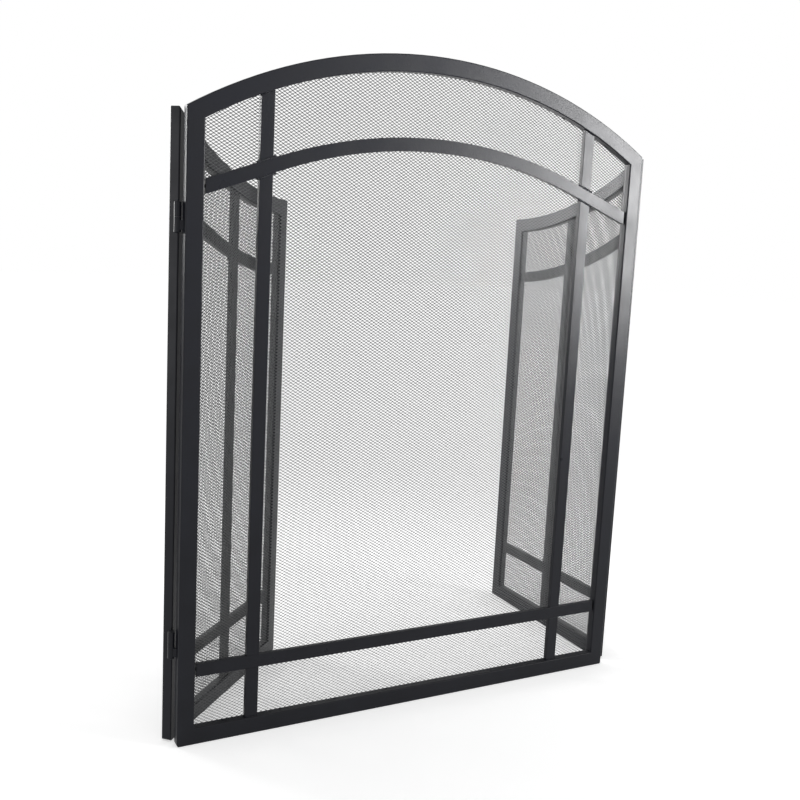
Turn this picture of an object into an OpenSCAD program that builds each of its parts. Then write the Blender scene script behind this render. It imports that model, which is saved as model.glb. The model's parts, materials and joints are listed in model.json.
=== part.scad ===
// Folding fireplace screen: an arched centre panel with two swept wings.
// Each panel is a welded frame of flat tube with a grid of flat bars and a
// sheet of expanded-metal mesh behind the grid. The wings hang on lift-off
// barrel hinges and fold back behind the centre panel.
// X runs along the centre panel, Y towards the fire, Z up.
// The origin lies on the floor under the middle of the centre panel.

/* [Centre panel] */
// Width of the centre panel
panel_w = 620; // [560:5:760]
// Height of the centre panel at the top of its arch
peak_h = 800; // [700:5:950]
// Radius of the arch along its outer edge
arch_r = 595; // [450:5:900]

/* [Wings] */
// Room between the free edge of a folded wing and the middle of the panel
fold_room = 15.6; // [5:0.2:60]
// Height of a wing at its free edge
wing_free_h = 633; // [560:1:680]
// Radius of the hollow curve along the top of a wing
wing_curve_r = 595; // [450:5:900]

/* [Frame tube] */
// Width of the frame tube, seen from the front
tube_w = 20; // [15:0.5:30]
// Depth of the frame tube, front to back
tube_d = 12; // [11:0.5:20]
// Wall of the frame tube
tube_wall = 1.5; // [1.2:0.1:2]
// Radius of the long edges of the frame tube
edge_r = 1.5; // [0.5:0.1:2.5]
// Radius of the ground corners that stand on the floor
corner_r = 4; // [2:0.5:5]

/* [Inner bars] */
// Width of the flat bar, seen from the front
bar_w = 15.5; // [10:0.5:20]
// Thickness of the flat bar, front to back
bar_t = 6; // [3:0.5:7]
// How far the bars sit behind the front of the frame
bar_setback = 2.5; // [1:0.5:4]
// From the side of the centre panel to its nearer upright
upright_inset = 82; // [50:1:140]
// From the floor to the underside of the lower bars
lower_bar_z = 81; // [50:1:150]
// From the arch down to the inner arch
arch_drop = 93.5; // [60:0.5:160]
// From the middle of the panel to where the inner arch runs out straight
arch_straight = 205; // [150:5:285]
// From the top curve of a wing down to its curved bar
wing_drop = 84.5; // [50:0.5:140]
// Gap between the end of a cross bar and the stile
bar_end_gap = 2; // [1:0.5:8]
// Radius of the weld tack that bridges that gap
tack_r = 1.5; // [1:0.1:2]

/* [Mesh] */
// Thickness of the mesh sheet
mesh_t = 0.6; // [0.4:0.1:1.5]
// Clearance between the edge of the mesh and the frame
mesh_gap = 0.3; // [0.1:0.1:1]
// Openings side by side in the centre mesh, a plain grid that stands in for its thousands of diamonds
mesh_across = 10; // [6:1:12]
// Openings side by side in a wing's mesh
wing_mesh_across = 5; // [3:1:8]
// Rows of openings in each mesh
mesh_up = 12; // [8:1:12]
// Share of the mesh that is open
mesh_open = 0.6; // [0.4:0.05:0.8]
// Solid rim left along the curved edge of a mesh
mesh_rim = 7; // [3:0.5:12]

/* [Hinges] */
// Gap between the stiles of two neighbouring panels
stile_gap = 8.8; // [8.8:0.2:14]
// How far the hinge axis lies behind the back of the frame
axis_back = 1.5; // [1.5:0.1:4]
// Radius of the hinge barrel
knuckle_r = 4.2; // [3.6:0.1:4.2]
// Length of one knuckle
knuckle_len = 17; // [12:0.5:24]
// Height of the domed end of a knuckle
dome_h = 1.2; // [0.6:0.1:2]
// Clearance between the two knuckles of a hinge
knuckle_gap = 0.2; // [0.1:0.1:0.6]
// From the floor to the middle of the lower hinge
low_hinge_z = 120; // [60:1:180]
// From the shoulder down to the middle of the upper hinge
high_hinge_drop = 115; // [60:1:180]
// Radius of the hinge pin
pin_r = 2.2; // [1.6:0.1:2.6]
// Clearance of the pin in the upper knuckle
pin_clear = 0.05; // [0.02:0.01:0.1]
// How far the pin stands above the joint, and how deep it is seated below it
pin_reach = 11; // [8:0.5:11]
// Free space above the pin in its socket
pin_top_play = 0.6; // [0.3:0.1:1]
// Chamfer on the tip of the pin
pin_chamfer = 0.6; // [0.2:0.1:1]
// Leg of the weld that holds a knuckle to its stile
weld_leg = 4; // [3:0.5:6]
// Length of that weld
weld_len = 10; // [6:0.5:12]

/* [Pose] */
// How far the left wing is folded back from straight
left_fold = 135.4; // [0:0.1:180]
// How far the right wing is folded back from straight
right_fold = 87.8; // [0:0.1:180]

/* [Hidden] */
$fn = 180;
frame_black = [0.15, 0.15, 0.16];
bar_black = [0.20, 0.20, 0.21];
mesh_black = [0.12, 0.12, 0.12];
hinge_black = [0.26, 0.26, 0.27];

// Depths, measured from the middle of the tube; the front is negative
front_y = -tube_d / 2;
bar_y = front_y + bar_setback;
mesh_y = bar_y + bar_t;

// Centre panel: inner edges of the frame and centre of the arch
half_w = panel_w / 2;
half_in = half_w - tube_w;
arch_z = peak_h - arch_r;
arch_in_r = arch_r - tube_w;
inner_arch_z = arch_z - arch_drop;
straight_a = asin(arch_straight / arch_r);
shoulder_h = arch_z + sqrt(arch_r ^ 2 - half_w ^ 2);
shoulder_in_h = arch_z + sqrt(arch_in_r ^ 2 - half_in ^ 2);
arch_a = acos(half_w / arch_r);

// Wing, measured outwards from its hinge axis
wing_near = stile_gap / 2;
wing_far = half_w - fold_room;
wing_near_in = wing_near + tube_w;
wing_far_in = wing_far - tube_w;
wing_mid = (wing_near + wing_far) / 2;
wing_span = wing_far - wing_near;
wing_fall = shoulder_h - wing_free_h;
// Centre of the wing's top curve, on the bisector of the chord between its corners
chord = sqrt(wing_span ^ 2 + wing_fall ^ 2);
chord_rise = sqrt(wing_curve_r ^ 2 - (chord / 2) ^ 2);
curve_x = wing_mid + chord_rise * wing_fall / chord;
curve_z = (shoulder_h + wing_free_h) / 2 + chord_rise * wing_span / chord;
wing_bar_z = curve_z - wing_drop;
curve_low_r = wing_curve_r + tube_w;
near_in_h = curve_z - sqrt(curve_low_r ^ 2 - (curve_x - wing_near_in) ^ 2);
far_in_h = curve_z - sqrt(curve_low_r ^ 2 - (curve_x - wing_far_in) ^ 2);

// Hinges
axis_x = half_w + stile_gap / 2;
axis_y = tube_d / 2 + axis_back;
high_hinge_z = shoulder_h - high_hinge_drop;
dome_r = (knuckle_r ^ 2 + dome_h ^ 2) / (2 * dome_h);

// Flats that make up each rounded edge of the tube
edge_steps = 4;
// Extra length that a cutting shape takes past the piece it cuts
over = 1;
// Angle that a curved tube is drawn past its mitre before it is cut
over_a = 4;

// ---- Shapes shared by the three panels ----

// A flat outline, drawn in X and Z, made solid between two depths
module slab(y0, y1) {
    translate([0, y1, 0]) rotate([90, 0, 0]) linear_extrude(y1 - y0) children();
}

// Points of a quarter round about a centre, from an angle on, in a few even steps
function quarter(c, a0) = [
    for (i = [0:edge_steps]) c + edge_r * [cos(a0 + 90 * i / edge_steps), sin(a0 + 90 * i / edge_steps)]
];

// Section of the frame tube: its outer edge at x = 0, its depth about y = 0
module tube_section() {
    low = front_y + edge_r;
    high = -low;
    difference() {
        polygon(concat(
            quarter([edge_r, low], 180), quarter([tube_w - edge_r, low], 270),
            quarter([tube_w - edge_r, high], 0), quarter([edge_r, high], 90)
        ));
        translate([tube_wall, front_y + tube_wall])
            square([tube_w - 2 * tube_wall, tube_d - 2 * tube_wall]);
    }
}

// Section of the flat bar, from x = 0, at the depth of the grid
module bar_section() {
    translate([0, bar_y]) square([bar_w, bar_t]);
}

// Straight lengths: x or z is where the piece's lower edge lies
module standing_tube(x, z0, z1) {
    translate([x, 0, z0]) linear_extrude(z1 - z0) tube_section();
}

module lying_tube(x0, x1, z) {
    translate([x0, 0, z + tube_w]) rotate([0, 90, 0]) linear_extrude(x1 - x0) tube_section();
}

module standing_bar(x, z0, z1) {
    translate([x, 0, z0]) linear_extrude(z1 - z0) bar_section();
}

module lying_bar(x0, x1, z) {
    translate([x0, bar_y, z]) cube([x1 - x0, bar_t, bar_w]);
}

// A disc in X and Z through the whole depth, for cutting along a curve
module disc(x, z, r) {
    translate([x, 0, z]) rotate([90, 0, 0]) cylinder(r = r, h = 2 * tube_d, center = true);
}

// Tube bent to a radius about (x, z), between two angles from +X towards +Z
module bent_tube(x, z, r, a0, a1) {
    translate([x, 0, z]) rotate([90, 0, 0]) rotate([0, 0, a0])
        rotate_extrude(angle = a1 - a0) translate([r, 0]) tube_section();
}

// Point on the line from p to q, past q where t is over 1
function along(p, q, t) = p + (q - p) * t;

// Keeps the part of a tube between two mitres, each given by its outer and inner corner
module mitred(out_a, in_a, out_b, in_b) {
    intersection() {
        children();
        slab(-tube_d, tube_d) polygon([
            along(in_a, out_a, 1.4), along(out_a, in_a, 1.4),
            along(out_b, in_b, 1.4), along(in_b, out_b, 1.4)
        ]);
    }
}

// Rounds the corner of a panel that stands on the floor; dir is the side the corner is on
module floor_corner(x, dir) {
    difference() {
        children();
        slab(-tube_d, tube_d) difference() {
            translate([dir > 0 ? x - corner_r : x - over, -over])
                square([corner_r + over, corner_r + over]);
            translate([x - dir * corner_r, corner_r]) circle(r = corner_r);
        }
    }
}

// Weld tack from the face of a stile at x to the end of a cross bar
module tack(x, dir, z) {
    translate([x, mesh_y - tack_r, z]) rotate([0, dir * 90, 0])
        cylinder(r = tack_r, h = bar_end_gap);
}

// Even grid of openings between x0 and x1, z0 and z1. The mesh ends at a circle of radius r about
// (cx, cz), above the openings where side is 1; one with less than a fifth of its height there is left out
module mesh_openings(x0, x1, z0, z1, across, cx, cz, r, side) {
    cell_x = (x1 - x0) / across;
    cell_z = (z1 - z0) / mesh_up;
    wide = cell_x * sqrt(mesh_open);
    tall = cell_z * sqrt(mesh_open);
    for (i = [0:across - 1], j = [0:mesh_up - 1]) {
        mid_x = x0 + (i + 0.5) * cell_x;
        low = z0 + (j + 0.5) * cell_z - tall / 2;
        if (cz + side * sqrt(r ^ 2 - (mid_x - cx) ^ 2) > low + tall / 5)
            translate([mid_x - wide / 2, low]) square([wide, tall]);
    }
}

// ---- Centre panel ----

module centre_stile(dir) {
    floor_corner(dir * half_w, dir)
        mitred([dir * half_w, 0], [dir * half_in, tube_w],
               [dir * half_w, shoulder_h], [dir * half_in, shoulder_in_h])
            standing_tube(dir > 0 ? half_in : -half_w, -over, shoulder_h + over);
}

module centre_left_stile() { color(frame_black) centre_stile(-1); }
module centre_right_stile() { color(frame_black) centre_stile(1); }

module centre_bottom_rail() {
    color(frame_black)
        floor_corner(half_w, 1) floor_corner(-half_w, -1)
            mitred([-half_w, 0], [-half_in, tube_w], [half_w, 0], [half_in, tube_w])
                lying_tube(-half_w - over, half_w + over, 0);
}

module centre_arch_rail() {
    left_out = [-half_w, shoulder_h];
    left_in = [-half_in, shoulder_in_h];
    right_out = [half_w, shoulder_h];
    right_in = [half_in, shoulder_in_h];
    color(frame_black)
        intersection() {
            bent_tube(0, arch_z, arch_in_r, arch_a - over_a, 180 - arch_a + over_a);
            slab(-tube_d, tube_d) polygon([
                along(left_in, left_out, 1.4), along(left_out, left_in, 1.4),
                along(right_out, right_in, 1.4), along(right_in, right_out, 1.4),
                [half_w, peak_h + over], [-half_w, peak_h + over]
            ]);
        }
}

// Everything under a curve of radius r that the inner arch follows: an arc over the middle of
// the panel, with a straight line that carries it on at both ends
module under_inner_arch(r) {
    translate([0, inner_arch_z]) {
        circle(r = r);
        rotate(-straight_a) square([arch_r, r]);
        rotate(straight_a) translate([-arch_r, 0]) square([arch_r, r]);
    }
}

module centre_inner_arch() {
    end_x = half_in - bar_end_gap;
    color(bar_black)
        slab(bar_y, mesh_y) intersection() {
            difference() {
                under_inner_arch(arch_r);
                under_inner_arch(arch_r - bar_w);
            }
            translate([-end_x, arch_z]) square([2 * end_x, arch_r]);
        }
}

module centre_lower_bar() {
    end_x = half_in - bar_end_gap;
    color(bar_black) lying_bar(-end_x, end_x, lower_bar_z);
}

// x of the upright's left edge on either side
function upright_x(dir) = dir > 0 ? half_w - upright_inset - bar_w : upright_inset - half_w;

module centre_upright_low(dir) {
    standing_bar(upright_x(dir), tube_w, lower_bar_z);
}

module centre_upright_mid(dir) {
    intersection() {
        standing_bar(upright_x(dir), lower_bar_z + bar_w, peak_h);
        slab(-tube_d, tube_d) under_inner_arch(arch_r - bar_w);
    }
}

module centre_upright_top(dir) {
    difference() {
        intersection() {
            standing_bar(upright_x(dir), arch_z, peak_h);
            disc(0, arch_z, arch_in_r);
        }
        slab(-tube_d, tube_d) under_inner_arch(arch_r);
    }
}

module centre_left_upright_low() { color(bar_black) centre_upright_low(-1); }
module centre_left_upright_mid() { color(bar_black) centre_upright_mid(-1); }
module centre_left_upright_top() { color(bar_black) centre_upright_top(-1); }
module centre_right_upright_low() { color(bar_black) centre_upright_low(1); }
module centre_right_upright_mid() { color(bar_black) centre_upright_mid(1); }
module centre_right_upright_top() { color(bar_black) centre_upright_top(1); }

module centre_bar_tacks() {
    end_x = half_in - bar_end_gap;
    mid_r = arch_r - bar_w / 2;
    arch_tack_z = inner_arch_z + mid_r / cos(straight_a) - end_x * tan(straight_a);
    color(bar_black)
        for (dir = [-1, 1], z = [lower_bar_z + bar_w / 2, arch_tack_z])
            tack(dir * half_in, -dir, z);
}

module centre_mesh() {
    edge_x = half_in - mesh_gap;
    low_z = tube_w + mesh_gap;
    curve_r = arch_in_r - mesh_gap;
    color(mesh_black)
        slab(mesh_y, mesh_y + mesh_t) difference() {
            intersection() {
                translate([-edge_x, low_z]) square([2 * edge_x, peak_h]);
                translate([0, arch_z]) circle(r = curve_r);
            }
            intersection() {
                mesh_openings(-edge_x, edge_x, low_z, arch_z + curve_r, mesh_across,
                              0, arch_z, curve_r - mesh_rim, 1);
                translate([0, arch_z]) circle(r = curve_r - mesh_rim);
            }
        }
}

// ---- Wing, drawn straight out along +X from a hinge axis at the origin ----

module wing_depth() {
    translate([0, -axis_back - tube_d / 2, 0]) children();
}

module wing_hinge_stile() {
    floor_corner(wing_near, -1)
        mitred([wing_near, 0], [wing_near_in, tube_w],
               [wing_near, shoulder_h], [wing_near_in, near_in_h])
            standing_tube(wing_near, -over, shoulder_h + over);
}

module wing_free_stile() {
    floor_corner(wing_far, 1)
        mitred([wing_far, 0], [wing_far_in, tube_w],
               [wing_far, wing_free_h], [wing_far_in, far_in_h])
            standing_tube(wing_far_in, -over, wing_free_h + over);
}

module wing_bottom_rail() {
    floor_corner(wing_far, 1) floor_corner(wing_near, -1)
        mitred([wing_near, 0], [wing_near_in, tube_w], [wing_far, 0], [wing_far_in, tube_w])
            lying_tube(wing_near - over, wing_far + over, 0);
}

module wing_top_rail() {
    near_a = atan2(shoulder_h - curve_z, wing_near - curve_x);
    far_a = atan2(wing_free_h - curve_z, wing_far - curve_x);
    near_out = [wing_near, shoulder_h];
    near_in = [wing_near_in, near_in_h];
    far_out = [wing_far, wing_free_h];
    far_in = [wing_far_in, far_in_h];
    intersection() {
        bent_tube(curve_x, curve_z, wing_curve_r, near_a - over_a, far_a + over_a);
        slab(-tube_d, tube_d) polygon([
            along(near_in, near_out, 1.4), along(near_out, near_in, 1.4),
            [wing_near_in, wing_free_h - 3 * tube_w], [wing_far_in, wing_free_h - 3 * tube_w],
            along(far_out, far_in, 1.4), along(far_in, far_out, 1.4),
            [wing_far, shoulder_h + tube_w]
        ]);
    }
}

module wing_curved_bar() {
    end_near = wing_near_in + bar_end_gap;
    end_far = wing_far_in - bar_end_gap;
    slab(bar_y, mesh_y) intersection() {
        translate([curve_x, wing_bar_z]) difference() {
            circle(r = wing_curve_r + bar_w);
            circle(r = wing_curve_r);
        }
        translate([end_near, lower_bar_z]) square([end_far - end_near, shoulder_h]);
    }
}

module wing_lower_bar() {
    lying_bar(wing_near_in + bar_end_gap, wing_far_in - bar_end_gap, lower_bar_z);
}

module wing_upright_low() {
    standing_bar(wing_mid - bar_w / 2, tube_w, lower_bar_z);
}

module wing_upright_mid() {
    difference() {
        standing_bar(wing_mid - bar_w / 2, lower_bar_z + bar_w, shoulder_h);
        disc(curve_x, wing_bar_z, wing_curve_r + bar_w);
    }
}

module wing_upright_top() {
    difference() {
        intersection() {
            standing_bar(wing_mid - bar_w / 2, lower_bar_z, shoulder_h);
            disc(curve_x, wing_bar_z, wing_curve_r);
        }
        disc(curve_x, curve_z, curve_low_r);
    }
}

module wing_bar_tacks() {
    mid_r = wing_curve_r + bar_w / 2;
    for (end = [[wing_near_in, 1], [wing_far_in, -1]]) {
        tip_x = end[0] + end[1] * bar_end_gap;
        curve_tack_z = wing_bar_z - sqrt(mid_r ^ 2 - (curve_x - tip_x) ^ 2);
        for (z = [lower_bar_z + bar_w / 2, curve_tack_z])
            tack(end[0], end[1], z);
    }
}

module wing_mesh() {
    near_x = wing_near_in + mesh_gap;
    far_x = wing_far_in - mesh_gap;
    low_z = tube_w + mesh_gap;
    edge_r_low = curve_low_r + mesh_gap;
    slab(mesh_y, mesh_y + mesh_t) difference() {
        translate([near_x, low_z]) square([far_x - near_x, shoulder_h - low_z]);
        translate([curve_x, curve_z]) circle(r = edge_r_low);
        difference() {
            mesh_openings(near_x, far_x, low_z, near_in_h, wing_mesh_across,
                          curve_x, curve_z, edge_r_low + mesh_rim, -1);
            translate([curve_x, curve_z]) circle(r = edge_r_low + mesh_rim);
        }
    }
}

// ---- Hinges, drawn with the axis at the origin and the joint at a height z ----

// Barrel of a knuckle from the joint outwards, flat at the joint and domed at its far end;
// up is 1 above the joint and -1 below it
module barrel(z, up) {
    translate([0, 0, z]) mirror([0, 0, up > 0 ? 0 : 1]) difference() {
        translate([0, 0, knuckle_gap / 2])
            cylinder(r = knuckle_r, h = knuckle_len - knuckle_gap / 2);
        difference() {
            translate([0, 0, knuckle_len - dome_h])
                cylinder(r = knuckle_r + over, h = dome_h + over);
            translate([0, 0, knuckle_len - dome_r]) sphere(r = dome_r);
        }
    }
}

// Weld between a barrel and the side of its own stile; dir is the side the stile is on
module knuckle_weld(z, up, dir) {
    side = dir * stile_gap / 2;
    weld_z = z + up * knuckle_len / 2 - weld_len / 2;
    translate([0, 0, weld_z]) linear_extrude(weld_len) polygon([
        [0, 0], [side, -axis_back], [side, -axis_back - weld_leg],
        [0, -knuckle_r * 0.9]
    ]);
}

module low_knuckle(z) {
    difference() {
        union() {
            barrel(z, -1);
            knuckle_weld(z, -1, -1);
        }
        translate([0, 0, z - pin_reach]) cylinder(r = pin_r, h = pin_reach + over);
    }
}

module hinge_pin(z) {
    translate([0, 0, z - pin_reach]) {
        cylinder(r = pin_r, h = 2 * pin_reach - pin_chamfer);
        translate([0, 0, 2 * pin_reach - pin_chamfer])
            cylinder(r1 = pin_r, r2 = pin_r - pin_chamfer, h = pin_chamfer);
    }
}

module socket_knuckle(z) {
    difference() {
        union() {
            barrel(z, 1);
            knuckle_weld(z, 1, 1);
        }
        translate([0, 0, z - over])
            cylinder(r = pin_r + pin_clear, h = over + pin_reach + pin_top_play);
    }
}

module at_right_axis() { translate([axis_x, axis_y, 0]) children(); }
module at_left_axis() { mirror([1, 0, 0]) at_right_axis() children(); }

module left_low_knuckle() { color(hinge_black) at_left_axis() low_knuckle(low_hinge_z); }
module left_high_knuckle() { color(hinge_black) at_left_axis() low_knuckle(high_hinge_z); }
module right_low_knuckle() { color(hinge_black) at_right_axis() low_knuckle(low_hinge_z); }
module right_high_knuckle() { color(hinge_black) at_right_axis() low_knuckle(high_hinge_z); }
module left_low_pin() { color(hinge_black) at_left_axis() hinge_pin(low_hinge_z); }
module left_high_pin() { color(hinge_black) at_left_axis() hinge_pin(high_hinge_z); }
module right_low_pin() { color(hinge_black) at_right_axis() hinge_pin(low_hinge_z); }
module right_high_pin() { color(hinge_black) at_right_axis() hinge_pin(high_hinge_z); }

// ---- Left wing ----

module on_left() { at_left_axis() rotate([0, 0, left_fold]) children(); }

module left_hinge_stile() { color(frame_black) on_left() wing_depth() wing_hinge_stile(); }
module left_free_stile() { color(frame_black) on_left() wing_depth() wing_free_stile(); }
module left_top_rail() { color(frame_black) on_left() wing_depth() wing_top_rail(); }
module left_bottom_rail() { color(frame_black) on_left() wing_depth() wing_bottom_rail(); }
module left_curved_bar() { color(bar_black) on_left() wing_depth() wing_curved_bar(); }
module left_lower_bar() { color(bar_black) on_left() wing_depth() wing_lower_bar(); }
module left_upright_low() { color(bar_black) on_left() wing_depth() wing_upright_low(); }
module left_upright_mid() { color(bar_black) on_left() wing_depth() wing_upright_mid(); }
module left_upright_top() { color(bar_black) on_left() wing_depth() wing_upright_top(); }
module left_bar_tacks() { color(bar_black) on_left() wing_depth() wing_bar_tacks(); }
module left_mesh() { color(mesh_black) on_left() wing_depth() wing_mesh(); }
module left_low_socket() { color(hinge_black) on_left() socket_knuckle(low_hinge_z); }
module left_high_socket() { color(hinge_black) on_left() socket_knuckle(high_hinge_z); }

// ---- Right wing ----

module on_right() { at_right_axis() rotate([0, 0, right_fold]) children(); }

module right_hinge_stile() { color(frame_black) on_right() wing_depth() wing_hinge_stile(); }
module right_free_stile() { color(frame_black) on_right() wing_depth() wing_free_stile(); }
module right_top_rail() { color(frame_black) on_right() wing_depth() wing_top_rail(); }
module right_bottom_rail() { color(frame_black) on_right() wing_depth() wing_bottom_rail(); }
module right_curved_bar() { color(bar_black) on_right() wing_depth() wing_curved_bar(); }
module right_lower_bar() { color(bar_black) on_right() wing_depth() wing_lower_bar(); }
module right_upright_low() { color(bar_black) on_right() wing_depth() wing_upright_low(); }
module right_upright_mid() { color(bar_black) on_right() wing_depth() wing_upright_mid(); }
module right_upright_top() { color(bar_black) on_right() wing_depth() wing_upright_top(); }
module right_bar_tacks() { color(bar_black) on_right() wing_depth() wing_bar_tacks(); }
module right_mesh() { color(mesh_black) on_right() wing_depth() wing_mesh(); }
module right_low_socket() { color(hinge_black) on_right() socket_knuckle(low_hinge_z); }
module right_high_socket() { color(hinge_black) on_right() socket_knuckle(high_hinge_z); }

centre_left_stile();
centre_right_stile();
centre_bottom_rail();
centre_arch_rail();
centre_inner_arch();
centre_lower_bar();
centre_left_upright_low();
centre_left_upright_mid();
centre_left_upright_top();
centre_right_upright_low();
centre_right_upright_mid();
centre_right_upright_top();
centre_bar_tacks();
centre_mesh();
left_low_knuckle();
left_high_knuckle();
right_low_knuckle();
right_high_knuckle();
left_low_pin();
left_high_pin();
right_low_pin();
right_high_pin();
left_hinge_stile();
left_free_stile();
left_top_rail();
left_bottom_rail();
left_curved_bar();
left_lower_bar();
left_upright_low();
left_upright_mid();
left_upright_top();
left_bar_tacks();
left_mesh();
left_low_socket();
left_high_socket();
right_hinge_stile();
right_free_stile();
right_top_rail();
right_bottom_rail();
right_curved_bar();
right_lower_bar();
right_upright_low();
right_upright_mid();
right_upright_top();
right_bar_tacks();
right_mesh();
right_low_socket();
right_high_socket();
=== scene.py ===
# %% [markdown]
# # A folding fireplace screen, dressed for its picture
# The screen is three welded panels of black steel: a wide one with an arched top, and two narrow
# wings that fold back toward the fire on hinges. Its tubes, bars, hinge barrels and pins were drawn
# to size in a CAD program, so this lesson never moves them. It opens that model, takes its
# measures from it, and gives it what the drawing leaves out: the expanded-metal mesh, soft edges
# that catch the light, weld beads, and paint.

# %% Open the measured frame
import cmath
import json
import math
import bmesh
import bpy
from mathutils import Matrix, Vector


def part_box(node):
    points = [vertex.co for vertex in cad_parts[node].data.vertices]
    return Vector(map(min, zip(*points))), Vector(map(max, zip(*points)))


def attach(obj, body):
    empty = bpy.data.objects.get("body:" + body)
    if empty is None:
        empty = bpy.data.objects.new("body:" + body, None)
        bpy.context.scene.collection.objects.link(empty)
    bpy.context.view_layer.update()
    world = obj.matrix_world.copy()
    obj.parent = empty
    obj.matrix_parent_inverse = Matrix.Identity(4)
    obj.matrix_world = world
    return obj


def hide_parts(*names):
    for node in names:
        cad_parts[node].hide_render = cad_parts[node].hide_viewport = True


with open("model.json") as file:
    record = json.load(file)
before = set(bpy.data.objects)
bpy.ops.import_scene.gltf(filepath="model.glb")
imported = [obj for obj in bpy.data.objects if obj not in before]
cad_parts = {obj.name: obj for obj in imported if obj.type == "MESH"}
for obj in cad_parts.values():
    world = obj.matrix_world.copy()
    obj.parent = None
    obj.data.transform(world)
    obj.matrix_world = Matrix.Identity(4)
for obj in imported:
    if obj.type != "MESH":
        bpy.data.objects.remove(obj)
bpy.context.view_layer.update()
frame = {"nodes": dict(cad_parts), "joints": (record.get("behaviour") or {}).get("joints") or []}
bpy.context.scene.view_settings.view_transform = "Standard"

# %% [markdown]
# The lengths of the frame are read from the boxes of the CAD parts, so that the looks follow if it
# is ever rebuilt to another size. The arch is a circle, and a circle is known from its height at
# the middle and its height at the shoulders: with half a width w and a rise h its radius is
# (w² + h²) / 2h.

# %% Measure the centre panel
MM = 0.001


def middle_of(node):
    """The centre of a CAD part's box."""
    low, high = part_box(node)
    return (low + high) / 2


def radius_from_rise(half_span, rise):
    """The radius of a circle that rises this much over half a span."""
    return (half_span ** 2 + rise ** 2) / (2 * rise)


stile_low, stile_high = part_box("centre_right_stile")
tube_face = stile_high.x - stile_low.x
tube_depth = stile_high.y - stile_low.y
half_width = stile_high.x
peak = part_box("centre_arch_rail")[1].z
arch_radius = radius_from_rise(half_width, peak - stile_high.z)
bar_low, bar_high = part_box("centre_lower_bar")
bar_face = bar_high.z - bar_low.z
bar_front = bar_low.y
mesh_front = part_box("centre_mesh")[0].y
mesh_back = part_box("centre_mesh")[1].y
print("tube", round(tube_face / MM, 2), "x", round(tube_depth / MM, 2), "mm, arch radius",
      round(arch_radius / MM, 1), "mm, flat bar", round(bar_face / MM, 2), "mm")

# %% [markdown]
# A wing is easiest to think about in its own frame: x runs out from the hinge, y points into the
# tube's depth toward the fire, z is up, and y = 0 is the middle of its tubes, as on the centre
# panel. The folded wing stands at an angle, and its frame is found from two things that the CAD
# gives: the hinge pin, and the middle of the stile at the free edge. The middle of the wing's tubes
# passes the pin at the same distance as the middle of the centre panel's tubes does. Treating the
# plan as complex numbers turns that into one division.

# %% Find each panel's own frame


def wing_frame(side, hand):
    """A wing's own frame as a matrix; the left wing's is mirrored, which hand = -1 says."""
    joint = next(j for j in frame["joints"] if j["name"] == side + "_wing_hinge")
    pin = complex(joint["pos_m"][0], joint["pos_m"][1])
    aside = joint["pos_m"][1]
    free = middle_of(side + "_free_stile")
    step = complex(free.x, free.y) - pin
    reach = math.sqrt(abs(step) ** 2 - aside ** 2)
    out = step / complex(reach, -hand * aside)
    inward = out * complex(0, hand)
    start = pin - inward * aside
    print(side, "wing stands at", round(math.degrees(cmath.phase(out)), 1), "degrees in plan")
    return Matrix((
        (out.real, inward.real, 0, start.real),
        (out.imag, inward.imag, 0, start.imag),
        (0, 0, 1, 0),
        (0, 0, 0, 1),
    ))


places = {
    "centre": Matrix.Identity(4),
    "left": wing_frame("left", -1),
    "right": wing_frame("right", 1),
}
bodies = {"centre": "centre_panel", "left": "left_wing", "right": "right_wing"}


def out_from_hinge(side, node):
    """How far the middle of a wing's upright part is from the hinge, along the wing."""
    return (places[side].inverted() @ middle_of(node)).x


# %% [markdown]
# Each panel's opening is bounded by two stiles, the bottom rail and one circle. The centre panel
# bulges up inside its circle. A wing's top rail sags instead: its circle's middle is high above,
# and the opening lies outside it. The circle of the sag passes through the two top corners.

# %% Describe the three openings


def circle_through(x0, z0, x1, z1, radius):
    """The middle, above the two points, of a circle of this radius through them."""
    chord = math.hypot(x1 - x0, z1 - z0)
    lift = math.sqrt(radius ** 2 - (chord / 2) ** 2)
    return (
        (x0 + x1) / 2 + lift * (z0 - z1) / chord,
        (z0 + z1) / 2 + lift * (x1 - x0) / chord,
    )


def wing_opening(side):
    """Where a wing's mesh may be, and the circle of its top rail."""
    near = out_from_hinge(side, side + "_hinge_stile")
    far = out_from_hinge(side, side + "_free_stile")
    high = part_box(side + "_hinge_stile")[1].z
    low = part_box(side + "_free_stile")[1].z
    half = tube_face / 2
    centre = circle_through(near - half, high, far + half, low, arch_radius)
    return {"x0": near + half, "x1": far - half, "z0": tube_face, "z1": high,
            "cx": centre[0], "cz": centre[1], "r": arch_radius + tube_face, "sense": -1}


openings = {
    "centre": {"x0": tube_face - half_width, "x1": half_width - tube_face, "z0": tube_face,
               "z1": peak, "cx": 0.0, "cz": peak - arch_radius, "r": arch_radius - tube_face,
               "sense": 1},
    "left": wing_opening("left"),
    "right": wing_opening("right"),
}
for side, hole in openings.items():
    print(side, {key: round(value, 4) for key, value in hole.items()})


def rim_height(side, x):
    """The height at x of the curved edge of a panel's opening."""
    hole = openings[side]
    return hole["cz"] + hole["sense"] * math.sqrt(hole["r"] ** 2 - (x - hole["cx"]) ** 2)


# %% [markdown]
# The camera stands to the left of the screen, a little over half a metre above the floor. It looks
# slightly down, and is tilted a little about its own line of sight.

# %% Set the camera
CAMERA_PLACE = (-0.6156, -1.0438, 0.5739)
CAMERA_TURN = 28.948
CAMERA_DIP = 8.574
CAMERA_TILT = 2.855
CAMERA_LENS = 44.51

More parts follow.
